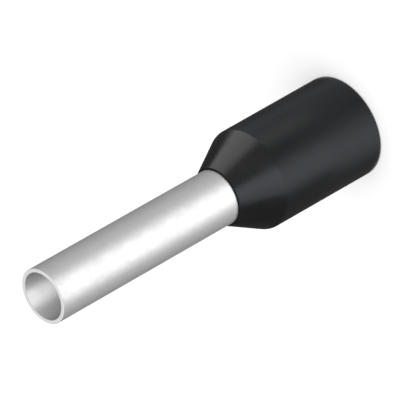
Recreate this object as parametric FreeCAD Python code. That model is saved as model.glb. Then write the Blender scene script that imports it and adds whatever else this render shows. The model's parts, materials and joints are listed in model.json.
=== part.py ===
import FreeCAD, Part
import math
import os

# An insulated wire end sleeve for stranded wire of 1.5 square millimetres.
# Lengths are in millimetres and angles in degrees.
# It stands on the collar's wire end at Z = 0, with the bare tube pointing up along +Z.

# Metal sleeve: a thin drawn tube whose hidden rear end is flared into a funnel
SLEEVE_BORE = 1.70
SLEEVE_WALL = 0.15
# Bare tube that stands out in front of the collar
PIN_LENGTH = 8.00
# Rounding left on the tube's two cut ends by tumbling
TUBE_EDGE_ROUND = 0.03
# Slight widening of the tube inside the nose, where it wedges in the collar's drafted grip
GRIP_DRAFT = 1.5
# Lean of the flared wall away from the axis, and the bend that leads into it
FLARE_ANGLE = 30.0
FLARE_BEND_RADIUS = 0.35
# Room between the flare's rim and the wall of the insulation bore
FLARE_RIM_ROOM = 0.06

# Insulating collar: a plastic moulding that grips the tube and takes the wire's insulation
INSULATION_BORE = 3.10
COLLAR_WALL = 0.29
COLLAR_LENGTH = 6.00
# Mould draft: how much less the body's radius is at the shoulder than at the wire end
BODY_DRAFT = 0.01
CONE_LENGTH = 1.45
SHOULDER_ROUND = 0.30
# Thickness of the collar's front rim around the tube
NOSE_RIM_WALL = 0.05
# Stretch of the nose that holds the tube, before the funnel opens behind it
GRIP_LENGTH = 0.90
# Roundings of the wire end: the outer edge, and the lead-in of the bore
WIRE_END_ROUND = 0.08
LEAD_IN_ROUND = 0.10
# Rounding between the collar's funnel and its insulation bore
FUNNEL_FOOT_ROUND = 0.15

# Play between the tube and the collar that is pressed onto it
SEAT_CLEARANCE = 0.01

# A rounding uses up at most this share of the wall that it is cut into
ROUND_SHARE_OF_WALL = 0.40

# The slopes of the grip and the flare, as growth in radius for each unit of depth
grip_slope = math.tan(math.radians(GRIP_DRAFT))
flare_slope = math.tan(math.radians(FLARE_ANGLE))

# The tube
tube_radius = SLEEVE_BORE / 2 + SLEEVE_WALL
tip_height = COLLAR_LENGTH + PIN_LENGTH
bend_height = COLLAR_LENGTH - GRIP_LENGTH
bend_radius = tube_radius + GRIP_LENGTH * grip_slope
tube_edge = min(TUBE_EDGE_ROUND, ROUND_SHARE_OF_WALL * SLEEVE_WALL)

# The collar's body
bore_radius = INSULATION_BORE / 2
body_radius = bore_radius + COLLAR_WALL
shoulder_radius = body_radius - BODY_DRAFT
shoulder_height = COLLAR_LENGTH - CONE_LENGTH
grip_radius = tube_radius + SEAT_CLEARANCE / math.cos(math.radians(GRIP_DRAFT))
nose_radius = grip_radius + NOSE_RIM_WALL

# The outer face of the metal from its tip to the flare's rim, as (radius, height) points
rim_radius = bore_radius - FLARE_RIM_ROOM
rim_height = bend_height - (rim_radius - bend_radius) / flare_slope
outer_path = [
    (tube_radius, tip_height),
    (tube_radius, COLLAR_LENGTH),
    (bend_radius, bend_height),
    (rim_radius, rim_height),
]


def rounded_face(corners):
    """Face in the XZ plane, inside a closed outline of (radius, height, rounding) corners."""
    places = [FreeCAD.Vector(radius, 0, height) for radius, height, rounding in corners]
    starts = []
    ends = []
    arcs = []
    for i, (radius, height, rounding) in enumerate(corners):
        here = places[i]
        back = (places[i - 1] - here).normalize()
        onward = (places[(i + 1) % len(places)] - here).normalize()
        half_angle = back.getAngle(onward) / 2
        start = here + back * (rounding / math.tan(half_angle))
        end = here + onward * (rounding / math.tan(half_angle))
        inward = (back + onward).normalize()
        middle = here + inward * (rounding / math.sin(half_angle) - rounding)
        arcs.append(Part.Arc(start, middle, end).toShape() if rounding else None)
        starts.append(start)
        ends.append(end)
    edges = []
    for arc, end, next_start in zip(arcs, ends, starts[1:] + starts[:1]):
        if arc:
            edges.append(arc)
        edges.append(Part.LineSegment(end, next_start).toShape())
    return Part.Face(Part.Wire(edges))


def parallel(path, distance):
    """Path of (radius, height) points moved square to itself, outwards where distance is positive."""
    normals = []
    for (radius, height), (next_radius, next_height) in zip(path, path[1:]):
        length = math.hypot(next_radius - radius, next_height - height)
        normals.append(((height - next_height) / length, (next_radius - radius) / length))
    moved = []
    for (radius, height), before, after in zip(path, normals[:1] + normals, normals + normals[-1:]):
        share = distance / (1 + before[0] * after[0] + before[1] * after[1])
        moved.append((radius + share * (before[0] + after[0]), height + share * (before[1] + after[1])))
    return moved


def turned(corners):
    """Solid of revolution of an outline about the Z axis."""
    axis_point = FreeCAD.Vector(0, 0, 0)
    axis_direction = FreeCAD.Vector(0, 0, 1)
    return rounded_face(corners).revolve(axis_point, axis_direction, 360)


def metal_sleeve():
    """Tube of one wall thickness: a straight pin, a slightly wider root in the grip, and the flare."""
    inner_path = parallel(outer_path, -SLEEVE_WALL)
    outer_roundings = [tube_edge, 0, FLARE_BEND_RADIUS, tube_edge]
    inner_roundings = [tube_edge, 0, FLARE_BEND_RADIUS + SLEEVE_WALL, tube_edge]
    outside = [(*place, rounding) for place, rounding in zip(outer_path, outer_roundings)]
    inside = [(*place, rounding) for place, rounding in zip(inner_path, inner_roundings)]
    return turned(outside + inside[::-1])


def insulating_collar():
    """Body, shoulder, cone and nose outside; grip, flare seat and insulation bore inside."""
    wire_end_edge = min(WIRE_END_ROUND, ROUND_SHARE_OF_WALL * COLLAR_WALL)
    lead_in_edge = min(LEAD_IN_ROUND, ROUND_SHARE_OF_WALL * COLLAR_WALL)
    seat_path = parallel(outer_path, SEAT_CLEARANCE)
    seat_radius, seat_height = seat_path[2]
    funnel_foot_height = seat_height - (bore_radius - seat_radius) / flare_slope
    return turned([
        (bore_radius, 0, lead_in_edge),
        (body_radius, 0, wire_end_edge),
        (shoulder_radius, shoulder_height, SHOULDER_ROUND),
        (nose_radius, COLLAR_LENGTH, 0),
        (grip_radius, COLLAR_LENGTH, 0),
        (seat_radius, seat_height, FLARE_BEND_RADIUS - SEAT_CLEARANCE),
        (bore_radius, funnel_foot_height, FUNNEL_FOOT_ROUND),
    ])


pieces = {
    "metal_sleeve": metal_sleeve(),
    "insulating_collar": insulating_collar(),
}

os.makedirs("parts", exist_ok=True)
for name, solid in pieces.items():
    solid.exportStep("parts/" + name + ".step")
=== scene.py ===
"""Looks of an insulated wire end sleeve: a satin tin-plated tube gripped by a black moulded collar.

Lengths are in metres and angles in radians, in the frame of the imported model: the collar stands on its
wire end at Z = 0, and the bare tube points up along +Z.
"""

import json
import logging
import math
from collections.abc import Mapping, Sequence
from dataclasses import dataclass, field
from enum import Enum
from typing import Protocol

import bmesh
import bpy
from mathutils import Matrix, Vector


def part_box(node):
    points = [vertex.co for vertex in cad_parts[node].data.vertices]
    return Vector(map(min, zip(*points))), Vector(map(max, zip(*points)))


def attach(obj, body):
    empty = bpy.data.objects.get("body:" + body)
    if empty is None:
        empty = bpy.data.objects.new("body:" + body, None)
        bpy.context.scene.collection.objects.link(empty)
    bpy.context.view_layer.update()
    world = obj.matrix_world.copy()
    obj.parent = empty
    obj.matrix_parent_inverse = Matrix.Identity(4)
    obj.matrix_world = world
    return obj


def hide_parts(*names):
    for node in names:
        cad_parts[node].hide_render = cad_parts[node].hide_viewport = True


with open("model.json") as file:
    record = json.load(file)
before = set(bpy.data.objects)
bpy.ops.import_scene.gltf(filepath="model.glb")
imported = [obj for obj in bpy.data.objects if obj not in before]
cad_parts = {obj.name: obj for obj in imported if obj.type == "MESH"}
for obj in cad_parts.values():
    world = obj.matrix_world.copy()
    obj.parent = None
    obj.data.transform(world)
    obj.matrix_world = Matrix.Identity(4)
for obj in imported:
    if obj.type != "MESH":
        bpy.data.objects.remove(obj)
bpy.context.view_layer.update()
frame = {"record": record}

MM = 0.001
LOG = logging.getLogger("wire_ferrule")

Colour = tuple[float, float, float]

# Tint of the lamps that show in the collar, a little blue
COOL: Colour = (0.92, 1.0, 1.08)

# Ends between which a noise texture mostly stays
NOISE_SPAN = (0.3, 0.7)

# Radius at which a screen's lid ends, close to the axis
LID_CENTRE = 0.01 * MM


class Node(Enum):
    """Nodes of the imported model."""

    SLEEVE = "metal_sleeve"
    COLLAR = "insulating_collar"


class Slot(Enum):
    """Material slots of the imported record."""

    TIN = "tinned_metal"
    PLASTIC = "collar_plastic"


class Body(Enum):
    """Bodies that a piece can ride on. Nothing moves, so there is one."""

    ROOT = "root"


class MountName(Enum):
    """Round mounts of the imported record."""

    PIN = "pin"
    CONDUCTOR_BORE = "conductor_bore"
    INSULATION_BORE = "insulation_bore"


@dataclass(frozen=True)
class RoundMount:
    """A round mount on the axis: its radius and the heights of its two ends."""

    radius: float
    low: float
    high: float

    @classmethod
    def read(cls, name: MountName) -> "RoundMount":
        """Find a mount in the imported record.

        Args:
            name: Which mount to read.

        Returns:
            The mount's radius and ends, in metres.
        """
        row = next(mount for mount in frame["record"]["mounts"] if mount["name"] == name.value)
        middle = row["pos_m"][2]
        half = row["dims"]["length_mm"] * MM / 2
        return cls(row["dims"]["r_mm"] * MM, middle - half, middle + half)


def eased(value: float) -> float:
    """Smooth step from 0 to 1, flat below 0 and above 1."""
    held = min(max(value, 0.0), 1.0)
    return held * held * (3 - 2 * held)


def compass(azimuth: float, elevation: float = 0.0) -> Vector:
    """Direction out from the axis.

    Args:
        azimuth: Angle from the front, which is -Y, towards +X.
        elevation: Angle above the floor.

    Returns:
        A unit vector.
    """
    level = math.cos(elevation)
    return Vector((math.sin(azimuth) * level, -math.cos(azimuth) * level, math.sin(elevation)))


def parallel(path: Sequence[Vector], distance: float) -> list[Vector]:
    """Move a path square to itself.

    Args:
        path: Points of (radius, height) that run from the tip towards the wire end.
        distance: How far to move, outwards where it is positive.

    Returns:
        The moved points, still one thickness away along every run.
    """
    normals = [(onward - here).normalized().orthogonal() for here, onward in zip(path, path[1:])]
    moved = []
    for here, before, after in zip(path, normals[:1] + normals, normals + normals[-1:]):
        moved.append(here + (before + after) * (distance / (1 + before.dot(after))))
    return moved


@dataclass(frozen=True)
class Corner:
    """One corner of a section outline, as a (radius, height) place and its rounding."""

    place: Vector
    rounding: float = 0.0

    def arc(self, before: Vector, after: Vector, largest_turn: float) -> list[Vector]:
        """Points of the corner, which is one point where it is sharp.

        Args:
            before: The place of the corner before this one.
            after: The place of the corner after this one.
            largest_turn: The most that the outline may turn between two points.

        Returns:
            Points in order along the outline.
        """
        if not self.rounding:
            return [self.place]
        back = (before - self.place).normalized()
        onward = (after - self.place).normalized()
        half_angle = back.angle(onward) / 2
        centre = self.place + (back + onward).normalized() * (self.rounding / math.sin(half_angle))
        reach = self.rounding / math.tan(half_angle)
        start = self.place + back * reach - centre
        end = self.place + onward * reach - centre
        turn = math.atan2(start.x * end.y - start.y * end.x, start.dot(end))
        steps = max(2, math.ceil(abs(turn) / largest_turn))
        return [centre + Matrix.Rotation(turn * i / steps, 2) @ start for i in range(steps + 1)]


@dataclass
class Section:
    """Closed outline that is turned about the Z axis into a ring-shaped piece."""

    corners: list[Corner]
    largest_turn: float = math.radians(7.5)
    longest_run: float = 0.22 * MM
    facets: int = 240
    sharp_angle: float = math.radians(40.0)

    def points(self) -> list[Vector]:
        """Round the corners and divide the straight runs.

        Returns:
            Points of (radius, height) around the whole outline.
        """
        places = [corner.place for corner in self.corners]
        outline: list[Vector] = []
        for i, corner in enumerate(self.corners):
            outline += corner.arc(places[i - 1], places[(i + 1) % len(places)], self.largest_turn)
        points: list[Vector] = []
        for here, onward in zip(outline, outline[1:] + outline[:1]):
            pieces = max(1, math.ceil((onward - here).length / self.longest_run))
            points += [here.lerp(onward, i / pieces) for i in range(pieces)]
        return points

    def turned(self, name: str) -> bpy.types.Mesh:
        """Spin the outline once round the Z axis.

        Args:
            name: Name of the new mesh.

        Returns:
            A closed mesh, smooth but for the corners that are sharp.
        """
        work = bmesh.new()
        ring = [work.verts.new((point.x, 0, point.y)) for point in self.points()]
        edges = [work.edges.new(pair) for pair in zip(ring, ring[1:] + ring[:1])]
        bmesh.ops.spin(
            work, geom=ring + edges, cent=(0, 0, 0), axis=(0, 0, 1), angle=math.tau,
            steps=self.facets, use_merge=True,
        )
        bmesh.ops.recalc_face_normals(work, faces=work.faces)
        mesh = bpy.data.meshes.new(name)
        work.to_mesh(mesh)
        work.free()
        mesh.shade_smooth()
        mesh.set_sharp_from_angle(angle=self.sharp_angle)
        return mesh


class NodeSheet:
    """A node tree that is written in short calls."""

    def __init__(self, tree: bpy.types.NodeTree) -> None:
        """Empty the tree and keep it."""
        tree.nodes.clear()
        self.tree = tree

    def add(self, kind: str, inputs: Mapping[str | int, object] | None = None,
            **settings: object) -> bpy.types.Node:
        """Add a node and fill in its inputs.

        Args:
            kind: The shader node's type, without its leading ShaderNode.
            inputs: Numbers, colours or other nodes' outputs, by the input's name or index.
            **settings: The node's own properties.

        Returns:
            The new node.
        """
        node = self.tree.nodes.new("ShaderNode" + kind)
        for name, value in settings.items():
            setattr(node, name, value)
        for key, value in (inputs or {}).items():
            socket = node.inputs[key] if isinstance(key, int) else self.live(node.inputs, key)
            if isinstance(value, bpy.types.NodeSocket):
                self.tree.links.new(value, socket)
            else:
                socket.default_value = value
        return node

    @staticmethod
    def live(sockets: Sequence[bpy.types.NodeSocket], name: str) -> bpy.types.NodeSocket:
        """The socket in use among those that share a name."""
        return next(socket for socket in sockets if socket.name == name and socket.enabled)

    def reckon(self, operation: str, *terms: object) -> bpy.types.NodeSocket:
        """Math node on one to three terms.

        Args:
            operation: The Math node's operation.
            *terms: Numbers or outputs.

        Returns:
            The node's output.
        """
        return self.add("Math", dict(enumerate(terms)), operation=operation).outputs[0]

    def vector(self, operation: str, *terms: object) -> bpy.types.Node:
        """Vector Math node on one or two terms."""
        return self.add("VectorMath", dict(enumerate(terms)), operation=operation)

    def spread(self, value: bpy.types.NodeSocket, low: float, high: float,
               start: float = 0.0, end: float = 1.0) -> bpy.types.NodeSocket:
        """Map a value that runs from start to end onto low to high.

        Args:
            value: The output to map.
            low: Result at start.
            high: Result at end.
            start: Value that gives low.
            end: Value that gives high.

        Returns:
            The mapped output, held between low and high.
        """
        ends = {"Value": value, "From Min": start, "From Max": end, "To Min": low, "To Max": high}
        return self.add("MapRange", ends).outputs[0]

    def blend(self, share: bpy.types.NodeSocket, low: Colour, high: Colour) -> bpy.types.NodeSocket:
        """Mix two colours by a share that varies over the surface."""
        mix = self.add("Mix", {"Factor": share, "A": (*low, 1), "B": (*high, 1)}, data_type="RGBA")
        return self.live(mix.outputs, "Result")

    def grain(self, size: Vector, layers: float = 2.0) -> bpy.types.NodeSocket:
        """Noise fixed to the piece.

        Args:
            size: Length of the grain along each axis, in metres.
            layers: How many finer layers it has.

        Returns:
            The noise, from 0 to 1 and mostly near 0.5.
        """
        place = self.add("TexCoord").outputs["Object"]
        scaled = self.vector("DIVIDE", place, size).outputs[0]
        return self.add("TexNoise", {"Vector": scaled, "Scale": 1.0, "Detail": layers}).outputs[0]


class Finish(Protocol):
    """Anything that can make a material."""

    def material(self) -> bpy.types.Material:
        """The finished material."""


def new_material(name: str) -> tuple[bpy.types.Material, NodeSheet]:
    """Start a material.

    Args:
        name: The material's name.

    Returns:
        The material and its empty node sheet.
    """
    material = bpy.data.materials.new(name)
    material.use_nodes = True
    return material, NodeSheet(material.node_tree)


def sleeve_ends() -> tuple[float, float]:
    """Heights of the sleeve's two open ends, the flare's rim first."""
    low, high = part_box(Node.SLEEVE.value)
    return low.z, high.z


@dataclass(frozen=True)
class TinPlate:
    """Satin tin plate: pale grey, softly mottled and drawn lengthwise, with painted shade that darkens the
    bore, most of all deep inside.
    """

    name: str = "satin_tin_plate"
    tone: Colour = (0.80, 0.80, 0.80)
    mottle_tone: Colour = (0.75, 0.75, 0.75)
    # Painted shade in the bore: its tone at the open ends, darker than the outside, and its tone at full
    # depth
    painted_mouth_shade: Colour = (0.61, 0.61, 0.61)
    painted_deep_shade: Colour = (0.16, 0.16, 0.16)
    painted_shade_depth: float = 2.4 * MM
    open_ends: tuple[float, float] = field(default_factory=sleeve_ends)
    bore_facing: tuple[float, float] = (-0.6, -0.2)
    grazing_tint: Colour = (0.45, 0.45, 0.45)
    roughness: float = 0.42
    bore_roughness: float = 0.35
    roughness_swing: float = 0.05
    mottle_size: Vector = field(default_factory=lambda: Vector((0.22, 0.22, 0.30)) * MM)
    mottle_layers: float = 3.0
    draw_line_size: Vector = field(default_factory=lambda: Vector((0.03, 0.03, 1.60)) * MM)
    draw_line_layers: float = 1.0
    draw_line_depth: float = 0.0004 * MM

    def material(self) -> bpy.types.Material:
        """Build the plate's nodes.

        Returns:
            A metal whose bore is told from its outside by the way the wall faces, and darkened there by
            painted shade.
        """
        material, sheet = new_material(self.name)
        mottle = sheet.grain(self.mottle_size, self.mottle_layers)
        lines = sheet.grain(self.draw_line_size, self.draw_line_layers)
        bore = self.bore_share(sheet)
        tone = sheet.blend(sheet.spread(mottle, 0.0, 1.0, *NOISE_SPAN), self.tone, self.mottle_tone)
        # Painted shade: the bore is painted darker than the outside, and darker still with depth from either
        # open end
        inside = sheet.blend(self.painted_shade_share(sheet), self.painted_mouth_shade, self.painted_deep_shade)
        tones = sheet.add("Mix", {"Factor": bore, "A": tone, "B": inside}, data_type="RGBA")
        plain = sheet.spread(bore, self.roughness, self.bore_roughness)
        swing = sheet.spread(mottle, -self.roughness_swing, self.roughness_swing, *NOISE_SPAN)
        bump = sheet.add("Bump", {"Height": lines, "Distance": self.draw_line_depth})
        shader = sheet.add("BsdfPrincipled", {
            "Base Color": sheet.live(tones.outputs, "Result"),
            "Metallic": 1.0,
            "Roughness": sheet.reckon("ADD", plain, swing),
            "Specular Tint": (*self.grazing_tint, 1),
            "Normal": bump.outputs[0],
        })
        sheet.add("OutputMaterial", {"Surface": shader.outputs[0]})
        return material

    def painted_shade_share(self, sheet: NodeSheet) -> bpy.types.NodeSocket:
        """Measure how deep in the bore a place lies, for the painted shade.

        Args:
            sheet: The plate's node sheet.

        Returns:
            0 at either open end, rising to 1 where the painted shade is darkest.
        """
        place = sheet.add("SeparateXYZ", {0: sheet.add("TexCoord").outputs["Object"]})
        rear, mouth = self.open_ends
        from_mouth = sheet.reckon("SUBTRACT", mouth, place.outputs["Z"])
        from_rear = sheet.reckon("SUBTRACT", place.outputs["Z"], rear)
        depth = sheet.reckon("MINIMUM", from_mouth, from_rear)
        return sheet.spread(depth, 0.0, 1.0, 0.0, self.painted_shade_depth)

    def bore_share(self, sheet: NodeSheet) -> bpy.types.NodeSocket:
        """Tell the bore from the outside.

        Args:
            sheet: The plate's node sheet.

        Returns:
            1 where the wall faces the axis, and 0 where it faces away.
        """
        coordinates = sheet.add("TexCoord")
        outwards = sheet.vector("MULTIPLY", coordinates.outputs["Object"], Vector((1, 1, 0)))
        unit = sheet.vector("NORMALIZE", outwards.outputs[0])
        facing = sheet.vector("DOT_PRODUCT", coordinates.outputs["Normal"], unit.outputs[0])
        return sheet.spread(facing.outputs["Value"], 1.0, 0.0, *self.bore_facing)


@dataclass(frozen=True)
class MouldedPlastic:
    """Black polypropylene from a finely eroded mould, with faint flow marks in its gloss."""

    name: str = "black_moulded_plastic"
    tone: Colour = (0.0080, 0.0082, 0.0085)
    flow_tone: Colour = (0.0100, 0.0102, 0.0106)
    roughness: float = 0.30
    roughness_swing: float = 0.04
    specular_level: float = 0.5
    grain_size: Vector = field(default_factory=lambda: Vector((0.028, 0.028, 0.028)) * MM)
    grain_depth: float = 0.0006 * MM
    flow_size: Vector = field(default_factory=lambda: Vector((0.5, 0.5, 2.4)) * MM)

    def material(self) -> bpy.types.Material:
        """Build the plastic's nodes.

        Returns:
            A dark plastic with a fine grain and a gloss that drifts a little along the flow.
        """
        material, sheet = new_material(self.name)
        grain = sheet.grain(self.grain_size)
        flow = sheet.grain(self.flow_size)
        flow_share = sheet.spread(flow, 0.0, 1.0, *NOISE_SPAN)
        bump = sheet.add("Bump", {"Height": grain, "Distance": self.grain_depth})
        shader = sheet.add("BsdfPrincipled", {
            "Base Color": sheet.blend(flow_share, self.tone, self.flow_tone),
            "Roughness": sheet.spread(flow_share, self.roughness - self.roughness_swing,
                                      self.roughness + self.roughness_swing),
            "Specular IOR Level": self.specular_level,
            "Normal": bump.outputs[0],
        })
        sheet.add("OutputMaterial", {"Surface": shader.outputs[0]})
        return material


@dataclass(frozen=True)
class PaleFloor:
    """Matt white floor that looks white to the camera, keeps its shadow, and is clear from below."""

    name: str = "pale_floor"
    tone: Colour = (0.82, 0.82, 0.82)
    own_light: float = 0.30

    def material(self) -> bpy.types.Material:
        """Build the floor's nodes.

        Returns:
            A diffuse white that is lighter where it is looked at, and see-through from underneath.
        """
        material, sheet = new_material(self.name)
        seen = looked_at(sheet)
        paint = sheet.add("BsdfDiffuse", {"Color": (*self.tone, 1)})
        glow = sheet.add("Emission", {"Strength": sheet.reckon("MULTIPLY", seen, self.own_light)})
        top = sheet.add("AddShader", {0: paint.outputs[0], 1: glow.outputs[0]})
        clear = sheet.add("BsdfTransparent")
        under = sheet.add("NewGeometry").outputs["Backfacing"]
        both = sheet.add("MixShader", {0: under, 1: top.outputs[0], 2: clear.outputs[0]})
        sheet.add("OutputMaterial", {"Surface": both.outputs[0]})
        return material


def looked_at(sheet: NodeSheet) -> bpy.types.NodeSocket:
    """Tell whether a surface is looked at, rather than lit.

    Args:
        sheet: The node sheet to work in.

    Returns:
        1 for a ray that comes from the camera, a gloss or a clear surface, and else 0.
    """
    path = sheet.add("LightPath").outputs
    seen = sheet.reckon("MAXIMUM", path["Is Camera Ray"], path["Is Glossy Ray"])
    return sheet.reckon("MAXIMUM", seen, path["Is Transmission Ray"])


@dataclass
class TurnedPiece:
    """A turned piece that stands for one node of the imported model.

    A piece that doesn't show in gloss is left out of its own reflections and of its neighbour's.
    """

    name: str
    node: Node
    slot: Slot
    finish: Finish
    shows_in_gloss: bool = True
    shape: bpy.types.Object | None = field(default=None, init=False)

    def section(self) -> Section:
        """Outline of the piece, which each kind of piece gives."""
        raise NotImplementedError

    def build(self) -> None:
        """Turn the section and seat it in place of its node."""
        self.shape = bpy.data.objects.new(self.name, self.section().turned(self.name))
        bpy.context.scene.collection.objects.link(self.shape)
        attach(self.shape, Body.ROOT.value)
        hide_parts(self.node.value)

    def dress(self) -> None:
        """Give the piece its finish."""
        self.shape.data.materials.append(self.finish.material())
        self.shape.visible_glossy = self.shows_in_gloss

    def report(self) -> None:
        """Log the piece's faces, and how far it stands from its node's box."""
        low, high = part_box(self.node.value)
        places = [vertex.co for vertex in self.shape.data.vertices]
        gaps = [abs(min(p[i] for p in places) - low[i]) for i in range(3)]
        gaps += [abs(max(p[i] for p in places) - high[i]) for i in range(3)]
        LOG.info("%s: %d faces, box within %.4f mm of %s", self.name, len(self.shape.data.polygons),
                 max(gaps) / MM, self.node.value)


@dataclass
class MetalSleeve(TurnedPiece):
    """Drawn tube: a straight pin, a root that widens a little in the grip, and a hidden flare."""

    name: str = "tin_plated_tube"
    node: Node = Node.SLEEVE
    slot: Slot = Slot.TIN
    finish: Finish = field(default_factory=TinPlate)
    shows_in_gloss: bool = False
    pin: RoundMount = field(default_factory=lambda: RoundMount.read(MountName.PIN))
    bore: RoundMount = field(default_factory=lambda: RoundMount.read(MountName.CONDUCTOR_BORE))
    insulation: RoundMount = field(default_factory=lambda: RoundMount.read(MountName.INSULATION_BORE))
    grip_length: float = 0.90 * MM
    grip_draft: float = math.radians(1.5)
    flare_angle: float = math.radians(30.0)
    flare_bend_radius: float = 0.35 * MM
    flare_rim_room: float = 0.06 * MM
    cut_edge_round: float = 0.03 * MM

    @property
    def wall(self) -> float:
        """Thickness of the drawn metal."""
        return self.pin.radius - self.bore.radius

    @property
    def nose_height(self) -> float:
        """Height at which the tube comes out of the collar."""
        return self.pin.low

    def outer_path(self) -> list[Vector]:
        """Outer face of the metal, from the tip to the flare's rim.

        Returns:
            Points of (radius, height).
        """
        tip_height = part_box(self.node.value)[1].z
        bend = Vector((self.pin.radius + self.grip_length * math.tan(self.grip_draft),
                       self.nose_height - self.grip_length))
        rim_radius = self.insulation.radius - self.flare_rim_room
        rim_height = bend.y - (rim_radius - bend.x) / math.tan(self.flare_angle)
        pin_top = Vector((self.pin.radius, tip_height))
        pin_foot = Vector((self.pin.radius, self.nose_height))
        return [pin_top, pin_foot, bend, Vector((rim_radius, rim_height))]

    def section(self) -> Section:
        """Give the wall its thickness, the same all the way.

        Returns:
            The outline of the wall.
        """
        outer = self.outer_path()
        inner = parallel(outer, -self.wall)
        outer_rounds = [self.cut_edge_round, 0.0, self.flare_bend_radius, self.cut_edge_round]
        inner_rounds = [self.cut_edge_round, 0.0, self.flare_bend_radius + self.wall, self.cut_edge_round]
        outside = [Corner(*pair) for pair in zip(outer, outer_rounds)]
        inside = [Corner(*pair) for pair in zip(inner, inner_rounds)]
        return Section(outside + inside[::-1])


@dataclass
class InsulatingCollar(TurnedPiece):
    """Moulding with a body, a rounded shoulder and a cone outside, and a grip, seat and bore inside."""

    sleeve: MetalSleeve = field(default_factory=MetalSleeve)
    name: str = "black_collar"
    node: Node = Node.COLLAR
    slot: Slot = Slot.PLASTIC
    finish: Finish = field(default_factory=MouldedPlastic)
    body_draft: float = 0.01 * MM
    cone_length: float = 1.45 * MM
    shoulder_round: float = 0.30 * MM
    nose_rim_wall: float = 0.05 * MM
    nose_edge_round: float = 0.04 * MM
    wire_end_round: float = 0.08 * MM
    lead_in_round: float = 0.10 * MM
    funnel_foot_round: float = 0.15 * MM
    seat_clearance: float = 0.01 * MM

    @property
    def body_radius(self) -> float:
        """Outer radius of the body at the wire end."""
        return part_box(self.node.value)[1].x

    def section(self) -> Section:
        """Run the grip and the funnel along the sleeve at one clearance, inside the outer form.

        Returns:
            The outline of the moulding.
        """
        sleeve = self.sleeve
        bore_radius = sleeve.insulation.radius
        nose_height = sleeve.nose_height
        grip_radius = sleeve.pin.radius + self.seat_clearance / math.cos(sleeve.grip_draft)
        seat = parallel(sleeve.outer_path(), self.seat_clearance)[2]
        funnel_foot = seat.y - (bore_radius - seat.x) / math.tan(sleeve.flare_angle)
        shoulder = Vector((self.body_radius - self.body_draft, nose_height - self.cone_length))
        corners = [
            Corner(Vector((bore_radius, 0)), self.lead_in_round),
            Corner(Vector((self.body_radius, 0)), self.wire_end_round),
            Corner(shoulder, self.shoulder_round),
            Corner(Vector((grip_radius + self.nose_rim_wall, nose_height)), self.nose_edge_round),
            Corner(Vector((grip_radius, nose_height))),
            Corner(seat, sleeve.flare_bend_radius - self.seat_clearance),
            Corner(Vector((bore_radius, funnel_foot)), self.funnel_foot_round),
        ]
        return Section(corners)


class Zone(Enum):
    """Bands of a reflection screen, named by where they lie."""

    FOOT = "floor at the foot of the part"
    FLOOR = "floor further out"
    EDGE = "edge of the floor"
    WALL = "upright wall"
    TOP = "top of the wall, and the lid over it"


@dataclass(frozen=True)
class Band:
    """Band of a reflection screen that runs on to a radius and a height, graded from front to back."""

    zone: Zone
    radius: float
    height: float
    front: float
    back: float
    steps: int

    def grey(self, azimuth: float) -> float:
        """Radiance of the bare band at an azimuth."""
        return self.back + (self.front - self.back) * (1 + math.cos(azimuth)) / 2


@dataclass(frozen=True)
class Panel:
    """Lit panel on some bands of a reflection screen, with soft sides. Its angles are in degrees."""

    zones: tuple[Zone, ...]
    middle: float
    half_width: float
    fade: float
    radiance: float
    tint: Colour = (1.0, 1.0, 1.0)

    def share(self, zone: Zone, azimuth: float) -> float:
        """Weigh the panel against the bare band at a place.

        Args:
            zone: The band that the place lies on.
            azimuth: The place's azimuth, in radians.

        Returns:
            0 outside the panel, 1 well inside it.
        """
        if zone not in self.zones:
            return 0.0
        aside = abs((math.degrees(azimuth) - self.middle + 180) % 360 - 180)
        return eased((self.half_width - aside) / self.fade + 0.5)


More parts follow.
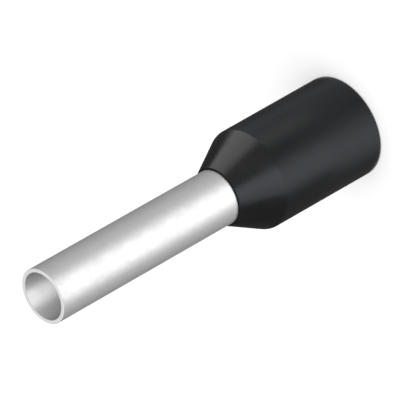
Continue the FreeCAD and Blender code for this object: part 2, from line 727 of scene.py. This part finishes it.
@dataclass
class ReflectionScreen:
    """Closed drum round the part, seen only in one piece's gloss: a floor, a wall and a lid.

    Panels and greys are placed by the azimuth at which a round piece of the mirror radius shows them.
    Several drums can stand one inside another, if all but the outermost are see-through.
    """

    name: str
    mirror_radius: float
    foot_radius: float
    lift: float
    bands: tuple[Band, ...]
    panels: tuple[Panel, ...]
    see_through: bool = False
    steps_round: int = 240

    def glow(self, band: Band, radius: float, azimuth: float) -> Vector:
        """Radiance of the screen.

        Args:
            band: The band that the place lies on.
            radius: Distance from the axis.
            azimuth: Angle from the front towards +X.

        Returns:
            The band's grey, or a panel's light over it, as red, green and blue.
        """
        spread = 1 - self.mirror_radius / (2 * max(radius, self.foot_radius))
        seen = math.copysign(min(abs(azimuth) / spread, math.pi), azimuth)
        light = Vector((1, 1, 1)) * band.grey(seen)
        for panel in self.panels:
            light = light.lerp(Vector(panel.tint) * panel.radiance, panel.share(band.zone, seen))
        return light

    def profile(self) -> list[tuple[Band, float, float]]:
        """Step along the bands, with closer steps near the axis.

        Returns:
            The band, radius and height of each ring of points.
        """
        rings = [(self.bands[0], self.foot_radius, self.lift)]
        for band in self.bands:
            start_radius, start_height = rings[-1][1:]
            for i in range(1, band.steps + 1):
                share = i / band.steps
                radius = start_radius * (band.radius / start_radius) ** share
                rings.append((band, radius, start_height + (band.height - start_height) * share))
        return rings

    def build(self, seen_by: bpy.types.Object) -> None:
        """Make the screen's mesh, with its radiance stored on its points, and hide it from all but gloss.

        Args:
            seen_by: The one object in whose gloss the screen shows.
        """
        places = []
        glows: list[float] = []
        profile = self.profile()
        for band, radius, height in profile:
            for j in range(self.steps_round):
                azimuth = math.tau * j / self.steps_round - math.pi
                places.append(compass(azimuth) * radius + Vector((0, 0, height)))
                glows += [*self.glow(band, radius, azimuth), 1.0]
        faces = []
        for i in range(len(profile) - 1):
            for j in range(self.steps_round):
                side = (j + 1) % self.steps_round
                inner, outer = i * self.steps_round, (i + 1) * self.steps_round
                faces.append((inner + j, outer + j, outer + side, inner + side))
        mesh = bpy.data.meshes.new(self.name)
        mesh.from_pydata(places, [], faces)
        mesh.attributes.new("glow", "FLOAT_COLOR", "POINT").data.foreach_set("color", glows)
        mesh.materials.append(self.material())
        screen = bpy.data.objects.new(self.name, mesh)
        screen.visible_camera = False
        screen.visible_diffuse = False
        screen.visible_shadow = False
        bpy.context.scene.collection.objects.link(screen)
        receivers = bpy.data.collections.new(self.name + "_shows_in")
        receivers.objects.link(seen_by)
        screen.light_linking.receiver_collection = receivers

    def material(self) -> bpy.types.Material:
        """Build the film's nodes.

        Returns:
            A film that gives off its stored light over black, or over what lies behind if it is see-through.
        """
        material, sheet = new_material(self.name)
        stored = sheet.add("Attribute", attribute_name="glow").outputs["Color"]
        light = sheet.add("Emission", {"Color": stored})
        grey = 1.0 if self.see_through else 0.0
        clear = sheet.add("BsdfTransparent", {"Color": (grey, grey, grey, 1)})
        film = sheet.add("AddShader", {0: light.outputs[0], 1: clear.outputs[0]})
        sheet.add("OutputMaterial", {"Surface": film.outputs[0]})
        material.cycles.emission_sampling = "NONE"
        return material


def tube_screen(mirror_radius: float, foot_radius: float) -> ReflectionScreen:
    """Lay out what the tin plate mirrors: one broad bright strip in front, and a slim one behind.

    Args:
        mirror_radius: Radius of the bare tube.
        foot_radius: Radius at which the screen starts, clear of the collar.

    Returns:
        The outer drum, which isn't built yet.
    """
    lift = 0.02 * MM
    # Zone, the radius and height where it ends, its light in front and behind, and its steps
    bands = (
        Band(Zone.FLOOR, 45.0 * MM, lift, 0.64, 0.375, 40),
        Band(Zone.WALL, 45.01 * MM, 36.0 * MM, 0.64, 0.375, 12),
        Band(Zone.TOP, 45.02 * MM, 70.1 * MM, 1.0, 1.0, 6),
        Band(Zone.TOP, LID_CENTRE, 70.1 * MM, 1.0, 1.0, 6),
    )
    # Zones, middle, half width, width of the soft sides, light, and tint
    panels = (
        Panel((Zone.FLOOR,), -17, 42, 53, 1.60),
        Panel((Zone.FLOOR,), 180, 10, 16, 1.10),
        Panel((Zone.WALL,), 180, 45, 30, 0.80),
    )
    return ReflectionScreen("tube_screen", mirror_radius, foot_radius, lift, bands, panels)


def collar_screen(mirror_radius: float, foot_radius: float) -> ReflectionScreen:
    """Lay out what the black plastic mirrors: dim bands, soft strips on the body and a sharp one on the cone.

    Args:
        mirror_radius: Radius of the collar's body.
        foot_radius: Radius at which the screen starts, clear of the collar.

    Returns:
        The inner drum, which isn't built yet.
    """
    lift = 0.03 * MM
    # Zone, the radius and height where it ends, its light in front and behind, and its steps
    bands = (
        Band(Zone.FOOT, 4.4 * MM, lift, 0.31, 0.10, 11),
        Band(Zone.FLOOR, 14.0 * MM, lift, 0.24, 0.08, 15),
        Band(Zone.EDGE, 44.9 * MM, lift, 0.17, 0.06, 15),
        Band(Zone.WALL, 44.91 * MM, 30.0 * MM, 0.16, 0.05, 12),
        Band(Zone.TOP, 44.92 * MM, 70.0 * MM, 0.06, 0.03, 8),
        Band(Zone.TOP, LID_CENTRE, 70.0 * MM, 0.06, 0.03, 8),
    )
    # Zones, middle, half width, width of the soft sides, light, and tint
    panels = (
        Panel((Zone.FOOT, Zone.FLOOR), 76, 46, 40, 0.36, COOL),
        Panel((Zone.FOOT,), -42, 35, 78, 1.05, COOL),
        Panel((Zone.FLOOR,), -35, 30, 42, 1.15, COOL),
        Panel((Zone.FLOOR,), 58, 16, 30, 0.66),
        Panel((Zone.EDGE, Zone.WALL), 30, 24, 18, 0.34),
        Panel((Zone.EDGE,), -31, 27, 22, 1.30, COOL),
        Panel((Zone.EDGE,), 181, 9, 10, 1.50, COOL),
        Panel((Zone.EDGE, Zone.WALL), 87, 29, 9, 1.76),
        Panel((Zone.WALL,), -43, 18, 12, 1.25, COOL),
        Panel((Zone.WALL,), -21, 17, 14, 1.60, COOL),
    )
    return ReflectionScreen("collar_screen", mirror_radius, foot_radius, lift, bands, panels,
                            see_through=True)


@dataclass(frozen=True)
class SoftBox:
    """Square studio lamp that points at the part."""

    name: str
    azimuth: float
    elevation: float
    distance: float
    side: float
    radiance: float

    def place(self, aim: Vector) -> None:
        """Hang the lamp.

        Args:
            aim: The point that it faces.
        """
        light = bpy.data.lights.new(self.name, "AREA")
        light.size = self.side
        light.energy = self.radiance * math.pi * self.side**2
        lamp = bpy.data.objects.new(self.name, light)
        outwards = compass(self.azimuth, self.elevation)
        lamp.location = aim + outwards * self.distance
        lamp.rotation_mode = "QUATERNION"
        lamp.rotation_quaternion = outwards.to_track_quat("Z", "Y")
        bpy.context.scene.collection.objects.link(lamp)


@dataclass
class Studio:
    """Plain pale floor, even white surroundings, a soft overhead lamp and a screen for each finish."""

    sleeve: MetalSleeve
    collar: InsulatingCollar
    floor_side: float = 1.2
    floor_finish: Finish = field(default_factory=PaleFloor)
    surround_level: float = 0.8
    screen_room: float = 0.06 * MM
    lamp: SoftBox = SoftBox(name="overhead_lamp", azimuth=math.radians(-20), elevation=math.radians(68),
                            distance=120 * MM, side=120 * MM, radiance=1.25)

    def build(self) -> None:
        """Set up everything round the part."""
        self.lay_floor()
        self.light_surroundings()
        self.lamp.place(Vector((0, 0, sleeve_ends()[1] / 2)))
        foot_radius = self.collar.body_radius + self.screen_room
        tube_screen(self.sleeve.pin.radius, foot_radius).build(self.sleeve.shape)
        collar_screen(self.collar.body_radius, foot_radius).build(self.collar.shape)

    def lay_floor(self) -> None:
        """Lay the floor under the part's standing face."""
        half = self.floor_side / 2
        mesh = bpy.data.meshes.new("floor")
        mesh.from_pydata([(-half, -half, 0), (half, -half, 0), (half, half, 0), (-half, half, 0)],
                         [], [(0, 1, 2, 3)])
        mesh.materials.append(self.floor_finish.material())
        floor = bpy.data.objects.new("floor", mesh)
        bpy.context.scene.collection.objects.link(floor)

    def light_surroundings(self) -> None:
        """Make the world white to look at, and a little lower as a light."""
        world = bpy.data.worlds.new("surroundings")
        world.use_nodes = True
        sheet = NodeSheet(world.node_tree)
        strength = sheet.spread(looked_at(sheet), self.surround_level, 1.0)
        white = sheet.add("Background", {"Color": (1, 1, 1, 1), "Strength": strength})
        sheet.add("OutputWorld", {"Surface": white.outputs[0]})
        bpy.context.scene.world = world


@dataclass(frozen=True)
class PictureCamera:
    """Long lens that looks down on the part from the front, rolled so that the tube points down left."""

    elevation: float = math.radians(35.041)
    roll: float = math.radians(-119.647)
    distance: float = 193.92 * MM
    aim: Vector = field(default_factory=lambda: Vector((0.2014, 0.0, 6.6674)) * MM)
    focal_length: float = 524.3
    sensor_width: float = 36.0
    nearest: float = 0.01
    farthest: float = 10.0

    def place(self) -> None:
        """Make the camera the scene's own."""
        outwards = compass(0.0, self.elevation)
        level = Vector((1, 0, 0))
        upright = outwards.cross(level)
        right = level * math.cos(self.roll) + upright * math.sin(self.roll)
        up = upright * math.cos(self.roll) - level * math.sin(self.roll)
        lens = bpy.data.cameras.new("camera")
        lens.lens = self.focal_length
        lens.sensor_width = self.sensor_width
        lens.clip_start = self.nearest
        lens.clip_end = self.farthest
        camera = bpy.data.objects.new("camera", lens)
        turn = Matrix((right, up, outwards)).transposed().to_4x4()
        camera.matrix_world = Matrix.Translation(self.aim + outwards * self.distance) @ turn
        bpy.context.scene.collection.objects.link(camera)
        bpy.context.scene.camera = camera


def main() -> None:
    """Build the part's pieces, then the studio and the camera."""
    logging.basicConfig(level=logging.INFO, format="%(name)s: %(message)s")
    sleeve = MetalSleeve()
    collar = InsulatingCollar(sleeve=sleeve)
    for piece in (sleeve, collar):
        piece.build()
        piece.dress()
        piece.report()
    Studio(sleeve, collar).build()
    PictureCamera().place()
    bpy.context.scene.view_settings.view_transform = "Standard"


if __name__ == "__main__":
    main()
